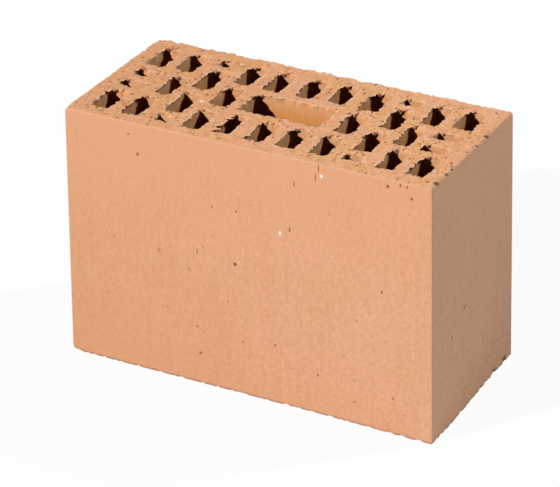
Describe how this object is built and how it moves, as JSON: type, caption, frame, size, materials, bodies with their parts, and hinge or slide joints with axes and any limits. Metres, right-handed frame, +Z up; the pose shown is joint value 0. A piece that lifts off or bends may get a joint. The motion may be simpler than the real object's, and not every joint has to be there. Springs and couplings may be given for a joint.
{
  "type": "clay brick",
  "caption": "Perforated clay brick, extruded, wire-cut and fired, with rectangular upright cells in rows and a wider grip hole in the middle.",
  "frame": {"origin": "centre of the lower bed face, on the surface that the brick stands on", "axes": "+X along the length, +Y from the front face to the back face, +Z up along the cells"},
  "size_m": [0.29, 0.134, 0.199],
  "materials": {
    "fired_clay": "matt unglazed fired clay, smooth from the die on its sides and rough on its wire-cut beds"
  },
  "bodies": {
    "root": {"brick": "fired_clay"}
  },
  "joints": []
}
